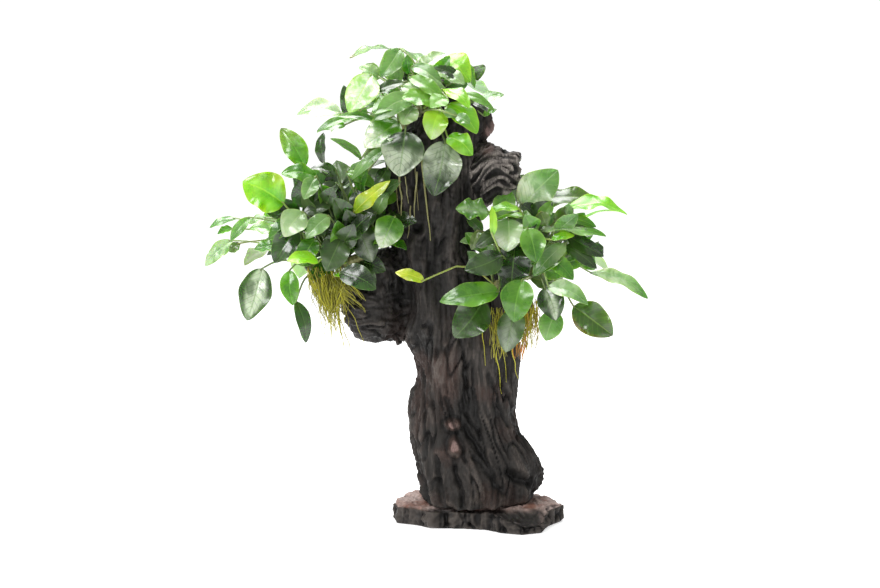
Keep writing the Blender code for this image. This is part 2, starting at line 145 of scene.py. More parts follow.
def wire(tree, node, socket, value):
    if isinstance(value, bpy.types.NodeSocket):
        tree.links.new(value, node.inputs[socket])
    else:
        node.inputs[socket].default_value = value


# links or sets each socket of a node
def fill(tree, node, values):
    for socket, value in values.items():
        wire(tree, node, socket, value)


def mathNode(tree, operation, a, b=0.5):
    node = tree.nodes.new("ShaderNodeMath")
    node.operation = operation
    fill(tree, node, {0: a, 1: b})
    return node.outputs[0]


def times(tree, a, b):
    return mathNode(tree, "MULTIPLY", a, b)


def stepNode(tree, value, low, high, toLow=0.0, toHigh=1.0):
    node = tree.nodes.new("ShaderNodeMapRange")
    node.interpolation_type = "SMOOTHSTEP"
    fill(tree, node, {"Value": value, "From Min": low, "From Max": high, "To Min": toLow, "To Max": toHigh})
    return node.outputs["Result"]


def mixColour(tree, share, a, b):
    node = tree.nodes.new("ShaderNodeMix")
    node.data_type = "RGBA"
    wire(tree, node, 0, share)
    for i, value in ((6, a), (7, b)):
        wire(tree, node, i, value if isinstance(value, bpy.types.NodeSocket) else (*value, 1.0))
    return node.outputs[2]


# lays colours over one another, each by its share
def layered(tree, colour, layers):
    for share, over in layers:
        colour = mixColour(tree, share, colour, over)
    return colour


def noiseNode(tree, scale, detail, stretch=None, distortion=0.0):
    node = tree.nodes.new("ShaderNodeTexNoise")
    fill(tree, node, {"Scale": scale, "Detail": detail, "Distortion": distortion})
    vector = tree.nodes.new("ShaderNodeTexCoord").outputs["Object"]
    if stretch:
        mapping = tree.nodes.new("ShaderNodeMapping")
        mapping.inputs["Scale"].default_value = stretch
        tree.links.new(vector, mapping.inputs["Vector"])
        vector = mapping.outputs["Vector"]
    tree.links.new(vector, node.inputs["Vector"])
    return node.outputs["Fac"]


# the three numbers of a mark or a place, one by one
def separate(tree, vector):
    node = tree.nodes.new("ShaderNodeSeparateXYZ")
    tree.links.new(vector, node.inputs[0])
    return node.outputs


def attribute(tree, name):
    node = tree.nodes.new("ShaderNodeAttribute")
    node.attribute_name = name
    return node.outputs["Vector"]


def bumpNode(tree, height, strength, distance):
    node = tree.nodes.new("ShaderNodeBump")
    fill(tree, node, {"Strength": strength, "Distance": distance, "Height": height})
    return node.outputs["Normal"]


leafForm = {
    "thickness": 0.45 * mm,
    "cup": (0.02, 0.26),
    "arch": 0.10,
    "waveHeight": (0.10, 0.34),
    "waves": (1.4, 2.6),
    "lumps": 0.035,
    "twist": 0.5,
    "sway": 0.05,
    "veins": 9.0,
    "veinLean": 1.9,
    "quilt": 0.006,
    "ribDepth": 0.45 * mm,
    "ribWidth": 1.0 * mm,
    "stalkFoot": 0.95 * mm,
    "stalkTop": 0.65 * mm,
}

# where a leaf has painted glare, a pale highlight laid into its colour: from which part, between which two
# places, how strongly
leafPaintedGlare = {
    "top_leaf_02": ("middle", 0.7, 1.1, 0.8),
    "top_leaf_03": ("foot", 0.5, 1.1, 0.6),
    "top_leaf_04": ("tip", 0.35, 0.7, 0.85),
    "top_leaf_05": ("tip", 0.45, 0.85, 0.5),
    "top_leaf_09": ("tip", 0.32, 0.56, 0.62),
    "top_leaf_10": ("foot", 0.55, 0.75, 0.5),
    "right_side_shoot8": ("middle", 0.2, 1.0, 0.3),
    "top_leaf_13": ("middle", 0.4, 1.0, 0.6),
    "top_leaf_14": ("tip", 0.2, 0.7, 0.7),
    "left_leaf_05": ("tip", 0.2, 0.7, 0.4),
    "left_leaf_06": ("middle", 0.1, 0.7, 0.35),
    "left_leaf_07": ("tip", 0.35, 0.8, 0.8),
    "left_leaf_11": ("middle", 0.35, 0.8, 0.75),
    "left_leaf_15": ("middle", 0.6, 1.2, 0.5),
    "right_leaf_01": ("foot", 0.3, 0.75, 0.95),
    "right_leaf_05": ("middle", 0.1, 0.6, 0.4),
    "right_leaf_04": ("foot", 0.4, 0.9, 0.5),
    "right_leaf_06": ("tip", 0.3, 0.7, 0.6),
    "right_leaf_12": ("middle", 0.15, 0.6, 0.7),
    "right_leaf_13": ("foot", 0.3, 1.0, 0.45),
    "right_leaf_14": ("foot", 0.3, 0.9, 0.8),
}

# where a leaf is going brown: which part, between which two places, how strongly
leafBrown = {
    "left_leaf_01": ("side", 0.1, 0.9, 0.35),
    "right_leaf_02": ("tip", 0.7, 1.0, 0.2),
    "right_leaf_15": ("side", 0.7, 1.0, 0.8),
    "top_leaf_01": ("tip", 0.8, 1.0, 0.7),
    "left_leaf_02": ("tip", 0.2, 1.2, 0.4),
}

# leaves with wavier edges than the rest, and leaves whose tip hangs over
leafWaves = {"left_leaf_02": 0.8, "right_leaf_02": 0.7, "right_leaf_15": 0.7, "right_leaf_05": 0.8,
             "top_leaf_08": 0.9, "right_leaf_04": 0.5, "left_leaf_01": 0.6, "right_leaf_08": 0.5,
             "right_leaf_10": 0.45, "left_leaf_08": 0.9, "top_leaf_09": 0.35, "top_leaf_10": 0.4}
leafHooks = {"right_leaf_03": 0.10, "top_leaf_08": 0.16, "right_leaf_14": 0.06, "top_leaf_12": 0.14,
             "left_leaf_07": 0.08, "top_leaf_05": 0.10, "left_leaf_13": 0.10}

# leaves that turn their face further to the front, leaves in another look than their slot's
leafTurns = {"top_leaf_12": 0.75, "top_side_shoot9": 0.6, "right_leaf_02": 0.3}
leafSwaps = {"left_leaf_08": "yellow", "right_leaf_02": "olive", "right_leaf_15": "olive"}
# one leaf behind the crown that is held in, in mm
tipShifts = {"top_side_shoot24": (-17, 6, -14)}


def maskOf(entry, u, s):
    if not entry:
        return 0.0
    part, low, high, strength = entry
    value = {"tip": s, "foot": 1 - s, "middle": 1 - abs(u), "side": u}[part]
    if part in ("foot", "middle"):
        low, high = 1 - high, 1 - low
    return smoothStep(low, high, value) * strength


def weldedNode(node):
    found, points, near = {}, [], []
    order = []
    for vertex in frame["nodes"][node].data.vertices:
        key = tuple(round(c / (0.01 * mm)) for c in vertex.co)
        if key not in found:
            found[key] = len(points)
            points.append(vertex.co.copy())
            near.append(set())
        order.append(found[key])
    for edge in frame["nodes"][node].data.edges:
        a, b = (order[i] for i in edge.vertices)
        if a != b:
            near[a].add(b)
            near[b].add(a)
    return points, near


# the rings of four points that lead back from a leaf's tip
def ringsFrom(tip, near, most):
    seen, ring, rings = {tip}, [tip], []
    while len(rings) < most:
        ring = sorted({n for v in ring for n in near[v]} - seen)
        if len(ring) != 4:
            break
        seen.update(ring)
        rings.append(ring)
    return rings


# what a leaf is made from: its stalk's points, its tip, the way its face looks and its width
def leafFacts(points, rings, tip, bladeRings, rhizome):
    middles = [sum((points[v] for v in ring), Vector()) / 4 for ring in rings]
    widest = 0.0
    for ring in rings[:bladeRings]:
        for i, a in enumerate(ring):
            for b in ring[i + 1:]:
                span = (points[a] - points[b]).length
                if span > widest:
                    widest, edgeMiddle = span, (points[a] + points[b]) / 2
                    others = [points[v] for v in ring if v not in (a, b)]
                    coreMiddle = (others[0] + others[1]) / 2
    foot = middles[bladeRings]
    ahead = (points[tip] - foot).normalized()
    up = edgeMiddle - coreMiddle
    up = (up - ahead * up.dot(ahead)).normalized()
    stalk = [foot, *middles[bladeRings + 1:bladeRings + 3]]
    if len(stalk) < 3:
        stalk.append(min(rhizome, key=lambda p: (p - stalk[-1]).length))
    return {"stalk": stalk[::-1], "tip": points[tip], "up": up, "width": widest}


def adjustFacts(facts, name):
    facts["tip"] = facts["tip"] + Vector(tipShifts.get(name, (0, 0, 0))) * mm
    ahead = (facts["tip"] - facts["stalk"][-1]).normalized()
    up = facts["up"].lerp(Vector((0, -1, 0.25)), leafTurns.get(name, 0.0))
    facts["up"] = (up - ahead * up.dot(ahead)).normalized()


def bladeHalf(share):
    return max(math.sin(math.pi * min(share, 1.0) ** 0.84), 0.0) ** 0.66


# one leaf: a thin closed blade with a sunk midrib, raised between its veins, and a round stalk
def leafMesh(facts, seed, across, along, stalkSteps):
    dice = random.Random(seed)
    wave = max(dice.uniform(*leafForm["waveHeight"]), leafWaves.get(seed, 0.0), facts.get("wave", 0.0))
    hook = leafHooks.get(seed, dice.uniform(-0.01, 0.05))
    paintedGlare, brown = leafPaintedGlare.get(seed), leafBrown.get(seed)
    waves = dice.uniform(*leafForm["waves"])
    phase = dice.uniform(0, 1)
    twist = dice.uniform(-1, 1) * leafForm["twist"]
    sway = dice.uniform(-1, 1) * leafForm["sway"]
    cup = dice.uniform(*leafForm["cup"])
    own = dice.uniform(0, 50)
    tint = dice.random()
    foot, tip = facts["stalk"][-1], facts["tip"]
    line = tip - foot
    length = line.length
    ahead = line.normalized()
    up = facts["up"]
    side = ahead.cross(up)
    half = facts["width"] / 2
    verts, places, looks = [], [], []
    for row in range(along + 1):
        s = row / along
        spread = max(bladeHalf(s) * half, 0.3 * mm if row else leafForm["stalkTop"])
        turn = twist * (s - 0.3)
        sideHere = side * math.cos(turn) + up * math.sin(turn)
        upHere = up * math.cos(turn) - side * math.sin(turn)
        spine = foot + line * s + up * (leafForm["arch"] * length * 4 * s * (1 - s))
        spine += side * (sway * length * math.sin(math.pi * s))
        spine -= up * (hook * length * smoothStep(0.55, 1, s))
        top, under = [], []
        for column in range(across + 1):
            u = 2 * column / across - 1
            out = abs(u)
            reach = spread * (1 + 0.10 * noiseAt(s * 3, own, u) * out)
            lift = cup * spread * out ** 1.5
            ripple = math.sin(2 * math.pi * (waves * s + phase + (0.37 if u > 0 else 0)))
            lift += wave * half * 0.5 * ripple * out ** 2.0 * math.sin(math.pi * min(s * 1.1, 1))
            lift += leafForm["lumps"] * facts["width"] * noiseAt(s * 4.5, u * 1.6, own)
            veinPlace = s * leafForm["veins"] - out * leafForm["veinLean"] * spread / half + tint
            quilt = abs(math.sin(math.pi * veinPlace)) ** 0.7 - 0.6
            lift += leafForm["quilt"] * facts["width"] * quilt * (1 - out ** 3) * min(out * 4, 1)
            rib = math.exp(-(u * spread / leafForm["ribWidth"]) ** 2) * (1 - 0.7 * s)
            thick = leafForm["thickness"] * (1 - 0.6 * out * out) / 2
            base = spine + sideHere * (u * reach)
            top.append((base + upHere * (lift + thick - rib * leafForm["ribDepth"]), (u, s, 1.0)))
            under.append((base + upHere * (lift - thick - rib * leafForm["ribDepth"] * 1.3), (u, s, -1.0)))
        for point, place in top + under[::-1]:
            verts.append(point)
            places.append(place)
            # the look mark holds the leaf's tint, its painted glare and its browning
            looks.append((tint, maskOf(paintedGlare, place[0], s), maskOf(brown, place[0], s)))
    ring = 2 * (across + 1)
    faces = ringFaces(along + 1, ring)
    for row, flip in ((0, False), (along, True)):
        for k in range(across):
            a, b = row * ring + k, row * ring + k + 1
            c, d = row * ring + ring - 2 - k, row * ring + ring - 1 - k
            faces.append((d, c, b, a) if not flip else (a, b, c, d))
    inside = foot + ahead * (0.06 * length) + up * (leafForm["arch"] * length * 0.2 - 0.5 * mm)
    first = facts["stalk"][0] + (facts["stalk"][0] - facts["stalk"][1]).normalized() * 3 * mm
    path = smoothLine([first, *facts["stalk"], inside], stalkSteps)
    radii = [leafForm["stalkFoot"] + (leafForm["stalkTop"] - leafForm["stalkFoot"]) * i / (stalkSteps - 1)
             for i in range(stalkSteps)]
    radii[-1] = 0.3 * mm
    stalkVerts, stalkFaces = tube(path, radii, 7)
    faces += [tuple(v + len(verts) for v in face) for face in stalkFaces]
    verts += stalkVerts
    places += [(0.0, -0.2, 0.0)] * len(stalkVerts)
    looks += [(tint, 0.0, 0.0)] * len(stalkVerts)
    return verts, faces, places, looks


leafLooks = {
    "dark": {"deep": (0.006, 0.018, 0.003), "body": (0.028, 0.064, 0.008), "pale": (0.10, 0.19, 0.04),
             "under": (0.06, 0.11, 0.02), "stalk": (0.10, 0.15, 0.03),
             "roughness": 0.24, "patches": 0.2, "glow": 0.12},
    "mid": {"deep": (0.025, 0.10, 0.004), "body": (0.095, 0.25, 0.010), "pale": (0.19, 0.40, 0.05),
            "under": (0.12, 0.25, 0.03), "stalk": (0.14, 0.20, 0.04),
            "roughness": 0.24, "patches": 0.45, "glow": 0.35},
    "lime": {"deep": (0.085, 0.30, 0.004), "body": (0.20, 0.50, 0.006), "pale": (0.42, 0.70, 0.05),
             "under": (0.26, 0.50, 0.04), "stalk": (0.24, 0.34, 0.06),
             "roughness": 0.25, "patches": 0.45, "glow": 0.45},
    "pale": {"deep": (0.06, 0.15, 0.03), "body": (0.15, 0.29, 0.07), "pale": (0.38, 0.52, 0.24),
             "under": (0.26, 0.36, 0.15), "stalk": (0.20, 0.27, 0.08),
             "roughness": 0.25, "patches": 0.5, "glow": 0.35},
    "olive": {"deep": (0.025, 0.050, 0.004), "body": (0.070, 0.135, 0.010), "pale": (0.22, 0.32, 0.06),
              "under": (0.14, 0.20, 0.04), "stalk": (0.16, 0.20, 0.04),
              "roughness": 0.28, "patches": 0.35, "glow": 0.2},
    "yellow": {"deep": (0.15, 0.26, 0.004), "body": (0.44, 0.54, 0.006), "pale": (0.72, 0.74, 0.08),
               "under": (0.40, 0.46, 0.03), "stalk": (0.26, 0.30, 0.06),
               "roughness": 0.3, "patches": 0.5, "glow": 0.4},
}


# veins, mottling and painted rim light of a leaf, from its own place across, along and which face
def leafMarksGroup():
    group = bpy.data.node_groups.new("leafMarks", "ShaderNodeTree")
    for name, kind in (("Place", "NodeSocketVector"), ("Vein Count", "NodeSocketFloat"),
                       ("Vein Lean", "NodeSocketFloat"), ("Mottle Scale", "NodeSocketFloat")):
        group.interface.new_socket(name, in_out="INPUT", socket_type=kind)
    for name in ("Rib", "Veins", "Mottle", "PaintedRimLight", "Under", "Stalk", "Height"):
        group.interface.new_socket(name, in_out="OUTPUT", socket_type="NodeSocketFloat")
    given = group.nodes.new("NodeGroupInput").outputs
    result = group.nodes.new("NodeGroupOutput")
    across, along, face = separate(group, given["Place"])
    out = mathNode(group, "ABSOLUTE", across)
    rib = stepNode(group, out, 0.01, 0.07, 1.0, 0.0)
    wobble = noiseNode(group, 60.0, 2.0)
    leaned = mathNode(group, "SUBTRACT", times(group, along, given["Vein Count"]),
                      times(group, out, given["Vein Lean"]))
    leaned = mathNode(group, "ADD", leaned, times(group, wobble, 0.9))
    veins = stepNode(group, mathNode(group, "PINGPONG", leaned, 0.5), 0.0, 0.13, 1.0, 0.0)
    fine = stepNode(group, mathNode(group, "PINGPONG", times(group, leaned, 4.0), 0.5),
                    0.0, 0.3, 0.3, 0.0)
    fading = stepNode(group, out, 0.6, 1.0, 1.0, 0.1)
    veins = times(group, mathNode(group, "MAXIMUM", veins, fine), fading)
    mottle = stepNode(group, noiseNode(group, given["Mottle Scale"], 4.0), 0.35, 0.7)
    height = mathNode(group, "SUBTRACT", times(group, mottle, 0.5),
                      mathNode(group, "MAXIMUM", times(group, veins, 0.6), rib))
    for name, value in (("Rib", rib), ("Veins", veins), ("Mottle", mottle),
                        ("PaintedRimLight", stepNode(group, out, 0.9, 1.0)), ("Under", stepNode(group, face, 0.2, -0.2)),
                        ("Stalk", stepNode(group, along, -0.02, -0.1)), ("Height", height)):
        group.links.new(value, result.inputs[name])
    return group


leafMarks = leafMarksGroup()


leafFinish = {
    # the first colour is the pale painted glare on the leaves
    "paintedGlare": (0.56, 0.64, 0.47),
    "brown": (0.14, 0.055, 0.012),
    "mottleScale": 45.0,
    "coat": 0.45,
    "coatRoughness": 0.14,
    "glowReach": (0.003, 0.006, 0.001),
    "glowScale": 0.5,
    "bump": 0.2,
    "bumpDepth": 0.3 * mm,
}


def leafMaterial(name):
    look = leafLooks[name]
    made, tree, shader = newMaterial(f"leaf_{name}")
    marks = tree.nodes.new("ShaderNodeGroup")
    marks.node_tree = leafMarks
    fill(tree, marks, {"Place": attribute(tree, "place"), "Vein Count": leafForm["veins"],
                       "Vein Lean": leafForm["veinLean"], "Mottle Scale": leafFinish["mottleScale"]})
    tint, paintedGlare, brown = separate(tree, attribute(tree, "look"))
    broad = noiseNode(tree, 26.0, 2.0)
    ragged = noiseNode(tree, 1.0, 3.0, stretch=(130, 130, 75), distortion=0.6)
    # painted highlight: pale glare laid over the leaf in ragged patches, weaker on the veins
    shine = times(tree, paintedGlare, stepNode(tree, ragged, 0.36, 0.56, 0.3, 1.0))
    shine = times(tree, shine, stepNode(tree, marks.outputs["Veins"], 0.2, 1.0, 1.0, 0.6))
    colour = layered(tree, look["deep"], (
        (marks.outputs["Mottle"], look["body"]),
        (stepNode(tree, tint, 0.0, 0.5, 0.45, 0.0), look["deep"]),
        (stepNode(tree, tint, 0.6, 1.0, 0.0, look["patches"] * 0.7), look["pale"]),
        (stepNode(tree, broad, 0.55, 0.72, 0.0, look["patches"]), look["pale"]),
        (shine, leafFinish["paintedGlare"]),
        (times(tree, marks.outputs["Veins"], 0.16), look["pale"]),
        (times(tree, marks.outputs["Rib"], 0.5), look["pale"]),
        # painted rim light: the edge of each leaf made paler
        (times(tree, marks.outputs["PaintedRimLight"], 0.4), look["pale"]),
        (times(tree, brown, stepNode(tree, broad, 0.35, 0.6, 0.4, 1.0)), leafFinish["brown"]),
        (times(tree, marks.outputs["Under"], 0.8), look["under"]),
        (marks.outputs["Stalk"], look["stalk"]),
    ))
    rough = stepNode(tree, marks.outputs["Mottle"], 0.0, 1.0, look["roughness"], look["roughness"] + 0.14)
    rough = mathNode(tree, "ADD", rough, times(tree, marks.outputs["Under"], 0.2))
    fill(tree, shader, {
        "Base Color": colour,
        "Roughness": rough,
        "Coat Weight": leafFinish["coat"],
        "Coat Roughness": leafFinish["coatRoughness"],
        "Subsurface Weight": look["glow"],
        "Subsurface Radius": leafFinish["glowReach"],
        "Subsurface Scale": leafFinish["glowScale"],
        "Normal": bumpNode(tree, marks.outputs["Height"], leafFinish["bump"], leafFinish["bumpDepth"]),
    })
    return made


leafMaterials = {name: leafMaterial(name) for name in leafLooks}


def leafObject(name, parts, finishes, node):
    verts, faces, places, looks, paint = [], [], [], [], []
    for part, finish in parts:
        faces += [tuple(v + len(verts) for v in face) for face in part[1]]
        paint += [finishes.index(finish)] * len(part[1])
        verts += part[0]
        places += part[2]
        looks += part[3]
    mesh = meshFrom(name, verts, faces, {"place": places, "look": looks})
    mesh.set_sharp_from_angle(angle=math.radians(55))
    made = addObject(name, mesh, [leafMaterials[finish] for finish in finishes])
    mesh.polygons.foreach_set("material_index", paint)
    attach(made, "root")
    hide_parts(node)


def buildLeaf(node, rhizome):
    points, near = weldedNode(node)
    for tip in range(len(points)):
        if len(near[tip]) == 4 and len(ringsFrom(tip, near, 7)) == 7:
            facts = leafFacts(points, ringsFrom(tip, near, 7), tip, 4, rhizome)
            if facts["width"] > 4 * mm:
                break
    adjustFacts(facts, node)
    made = leafMesh(facts, node, 16, 28, 14)
    look = leafSwaps.get(node, slotOf[node].removeprefix("leaf_"))
    leafObject(f"{node}_blade", [(made, look)], [look], node)


# the thicket of leaves behind the named ones: middle, half sizes, how many, shortest and longest
thickets = {
    "top": {"middle": (-56, -2, 358), "half": (46, 26, 24), "count": 44, "length": (17, 27),
            "looks": ("mid", "pale", "pale", "mid", "pale")},
    "left": {"middle": (-112, -20, 254), "half": (46, 24, 36), "count": 84, "length": (19, 30),
             "looks": ("dark", "mid", "dark", "dark", "pale")},
    "right": {"middle": (44, -20, 236), "half": (44, 26, 34), "count": 64, "length": (18, 28),
              "looks": ("dark", "mid", "pale", "pale", "olive")},
}

# more leaves of the side shoots: foot x y z, tip x y z, width, how far the face leans to the front, look
extraLeaves = {
    "top": (
        (-64, -14, 401, -80, -26, 378, 18, 0.8, "pale"), (-56, -20, 380, -58, -26, 396, 10, 0.7, "mid"),
        (-12, -24, 374, -36, -30, 386, 11, 0.5, "dark"), (-62, -42, 371, -38, -50, 361, 16, 0.6, "pale"),
        (-60, -36, 374, -84, -40, 366, 10, 0.5, "dark"), (-52, -50, 363, -84, -60, 345, 19, 0.65, "pale"),
        (-50, -32, 380, -24, -42, 363, 12, 0.5, "pale"), (-14, -38, 365, 14, -42, 351, 10, 0.45, "mid"),
        (-106, -24, 345, -110, -30, 371, 13, 0.8, "dark"), (-98, -32, 346, -132, -38, 334, 9, 0.5, "mid"),
        (-84, -40, 343, -114, -46, 347, 9, 0.5, "pale"), (-74, -38, 304, -84, -44, 289, 12, 0.8, "dark"),
        (-76, -40, 320, -104, -44, 296, 11, 0.5, "pale"),
    ),
    "left": (
        (-112, -46, 247, -124, -56, 221, 25, 0.85, "dark"), (-110, -36, 265, -137, -44, 250, 18, 0.7, "dark"),
        (-84, -36, 267, -115, -42, 250, 20, 0.7, "dark"), (-133, -48, 247, -146, -54, 226, 17, 0.8, "mid"),
        (-116, -32, 291, -135, -38, 276, 14, 0.6, "dark"), (-120, -42, 274, -144, -46, 266, 12, 0.5, "dark"),
        (-133, -46, 297, -142, -54, 280, 14, 0.75, "pale"),
        (-122, -52, 266, -140, -62, 249, 16, 0.75, "pale"),
        (-100, -38, 285, -95, -44, 267, 15, 0.8, "dark"), (-150, -40, 262, -172, -46, 246, 16, 0.6, "mid"),
        (-118, -52, 217, -87, -60, 211, 10, 0.4, "lime"), (-92, -30, 250, -100, -36, 232, 17, 0.8, "mid"),
        (-108, -30, 300, -84, -34, 288, 12, 0.5, "mid"),
    ),
    "right": (
        (34, -48, 271, 8, -56, 269, 11, 0.4, "lime"), (46, -24, 258, 62, -32, 275, 17, 0.7, "dark"),
        (20, -58, 234, -11, -68, 223, 21, 0.85, "dark"), (74, -34, 248, 104, -44, 232, 15, 0.65, "dark"),
        (72, -40, 240, 98, -48, 222, 13, 0.6, "dark"), (72, -46, 242, 47, -58, 219, 14, 0.7, "pale"),
        (30, -50, 222, 22, -58, 196, 17, 0.8, "dark"), (48, -44, 262, 26, -54, 246, 16, 0.7, "dark"),
        (60, -50, 232, 78, -58, 214, 15, 0.7, "mid"), (66, -30, 262, 98, -38, 256, 12, 0.4, "mid"),
        (24, -46, 256, -2, -54, 240, 13, 0.7, "dark"),
    ),
}

# looks of the side shoots' leaves in turn, and of single ones by their number
shootLooks = {
    "top": ("mid", "pale", "pale", "mid", "dark"),
    "left": ("olive", "dark", "pale", "pale", "mid"),
    "right": ("dark", "pale", "mid", "pale", "mid"),
}
shootSwaps = {
    "top": {9: "pale"},
    "left": {6: "pale", 10: "dark"},
    "right": {1: "dark", 3: "lime", 4: "olive", 5: "olive", 6: "lime", 8: "dark", 9: "pale", 10: "pale",
              12: "olive", 13: "lime", 16: "mid", 17: "lime"},
}


# the same facts from places in mm, with a stalk that bends up between root and foot
def shootFacts(root, foot, tip, ahead, face, rise, width):
    bend = (root + foot) / 2 + Vector((0, 0, rise * (foot - root).length))
    return {"stalk": [p * mm for p in (root, bend, foot)], "tip": tip * mm,
            "up": (face - ahead * face.dot(ahead)).normalized(), "width": width * mm}


def extraFacts(row, rhizome):
    foot, tip = Vector(row[0:3]), Vector(row[3:6])
    face = Vector((0.0, -row[7], 1 - row[7])).normalized()
    root = min(rhizome, key=lambda p: (p / mm - foot).length) / mm
    return shootFacts(root, foot, tip, (tip - foot).normalized(), face, 0.16, row[6])


def thicketFacts(plant, rhizome, dice):
    form = thickets[plant]
    middle, half = Vector(form["middle"]), form["half"]
    heart = Vector([sum(p[i] for p in rhizome) for i in range(3)]) / len(rhizome) / mm
    while True:
        offset = Vector([dice.uniform(-1, 1) for _ in range(3)])
        if offset.length < 1:
            break
    foot = middle + Vector([o * h for o, h in zip(offset, half)])
    outward = (foot - heart).normalized()
    outward += Vector((dice.uniform(-0.6, 0.6), dice.uniform(-0.7, 0.2), dice.uniform(-0.7, 0.2)))
    outward.normalize()
    length = dice.uniform(*form["length"])
    front = dice.uniform(0.3, 0.9)
    face = Vector((dice.uniform(-0.3, 0.3), -front, 1 - front)).normalized()
    root = min(rhizome, key=lambda p: (p / mm - foot).length + dice.uniform(0, 12)) / mm
    width = length * dice.uniform(0.55, 0.72)
    return shootFacts(root, foot, foot + outward * length, outward, face, 0.18, width)


def buildShoot(plant, rhizome):
    node = f"{plant}_side_shoot"
    points, near = weldedNode(node)
    parts = []
    for tip in range(len(points)):
        if len(near[tip]) != 4:
            continue
        rings = ringsFrom(tip, near, 6)
        if len(rings) < 4:
            continue
        facts = leafFacts(points, rings, tip, 3, rhizome)
        if facts["width"] < 4 * mm or (facts["tip"] - facts["stalk"][-1]).length < 6 * mm:
            continue
        facts["width"] *= 1.12
        number = len(parts)
        name = f"{node}{number}"
        adjustFacts(facts, name)
        look = shootSwaps[plant].get(number, shootLooks[plant][number % 5])
        if plant == "right" and facts["tip"].x < -50 * mm:
            look = "yellow"  # the leaf that curls across the trunk
            facts["wave"] = 0.9
        parts.append((leafMesh(facts, name, 10, 18, 10), look))
    for i, row in enumerate(extraLeaves[plant]):
        parts.append((leafMesh(extraFacts(row, rhizome), f"{node} more {i}", 12, 20, 10), row[8]))
    dice = random.Random(node)
    for i in range(thickets[plant]["count"]):
        facts = thicketFacts(plant, rhizome, dice)
        parts.append((leafMesh(facts, f"{node}_{i}", 10, 16, 9), thickets[plant]["looks"][i % 5]))
    print(plant, "side shoot:", len(parts), "leaves")
    leafObject(f"{node}_leaves", parts, tuple(leafLooks), node)


for plant in plants:
    rhizomePoints = [v.co.copy() for v in frame["nodes"][f"{plant}_rhizome"].data.vertices]
    for node in sorted(frame["nodes"]):
        if node.startswith(f"{plant}_leaf_"):
            buildLeaf(node, rhizomePoints)
    buildShoot(plant, rhizomePoints)
print("leaves done")


woodForm = {
    "nodes": ("trunk", "upper_stem", "knob", "left_limb", "right_limb"),
    "voxel": 1.25 * mm,
    "swell": 0.8 * mm,
    "sweep": 26,  # how far the grain runs to the right at the foot, in mm
    "knobReach": (34, 20),  # the folds fade in between these distances from the middle
    "limbReach": (40, 26),
    "knobTop": 270,  # folds above this height belong to the knob
    "bowl": (-2, 0, -12),  # the bowl's middle from the limb's
    "rope": 3.4,
    "furrow": 3.4,
    "ridge": 1.0,
    "fineRidge": 0.35,
    "grit": 0.3,
    "horn": (5, 1.5),
    "foot": 22,  # height over which the foot spreads
}

# furrows: start, end, half width, depth, in mm on the front of the wood
furrows = (
    ((-10, 86), (15, 42), 2.4, 4.5), ((-27, 110), (-9, 56), 2.0, 3.5), ((-44, 130), (-43, 57), 1.6, 3.0),
    ((-4, 118), (4, 74), 2.0, 2.5), ((10, 130), (26, 84), 1.8, 2.5), ((22, 120), (40, 72), 1.6, 2.2),
    ((-2, 60), (22, 28), 2.4, 3.0), ((-34, 60), (-30, 22), 1.8, 2.5), ((-18, 50), (-12, 20), 1.8, 2.5),
    ((-14, 160), (-8, 118), 1.5, 2.0), ((28, 46), (44, 34), 4.5, 6.5), ((-66, 262), (-60, 212), 1.8, 2.5),
)
# lumps and hollows: x, z, half width, half height, how far out, how red
lumps = (
    (-21, 87, 6.5, 6, 4.4, 1.25), (-18.5, 69, 6, 8.5, 4.6, 1.25), (-30, 62, 7, 6, 1.6, 0.6),
    (-49, 92, 6, 34, 1.4, 0.0), (-96, 227, 5.5, 5, -6.0, 0.0), (-50, 252, 4, 4, -4.0, 0.0),
    (6, 44, 8, 12, 1.8, 0.0), (-26, 130, 13, 30, 0.6, 0.75), (40, 56, 12, 16, 1.2, 0.0),
    (13, 332, 9, 14, 1.4, 2.0), (10, 317, 9, 6, 1.5, 1.2), (22, 100, 10, 26, 0.8, 0.0),
)


# one closed skin round several CAD nodes
def skinOf(nodes, voxel, swell, smooth):
    work = bmesh.new()
    for node in nodes:
        work.from_mesh(frame["nodes"][node].data)
    bmesh.ops.remove_doubles(work, verts=work.verts, dist=0.001 * mm)
    mesh = bpy.data.meshes.new("skin")
    work.to_mesh(mesh)
    work.free()
    skin = bpy.data.objects.new("skin", mesh)
    bpy.context.scene.collection.objects.link(skin)
    for name, kind in (("swell", "DISPLACE"), ("fuse", "REMESH"), ("soften", "SMOOTH")):
        skin.modifiers.new(name, kind)
    skin.modifiers["swell"].strength = swell
    skin.modifiers["swell"].mid_level = 0.0
    skin.modifiers["fuse"].mode = "VOXEL"
    skin.modifiers["fuse"].voxel_size = voxel
    skin.modifiers["soften"].factor = 0.5
    skin.modifiers["soften"].iterations = smooth
    bpy.context.view_layer.update()
    made = bpy.data.meshes.new_from_object(skin.evaluated_get(bpy.context.evaluated_depsgraph_get()))
    bpy.data.objects.remove(skin)
    return made


# a noise that comes to sharp crests, from about -1 to 1
def crest(x, y, z):
    return 1 - 3.2 * abs(noiseAt(x, y, z))


def lineDistance(x, z, start, end):
    ax, az = start
    bx, bz = end[0] - ax, end[1] - az
    share = min(max(((x - ax) * bx + (z - az) * bz) / (bx * bx + bz * bz), 0), 1)
    return math.hypot(x - ax - bx * share, z - az - bz * share)


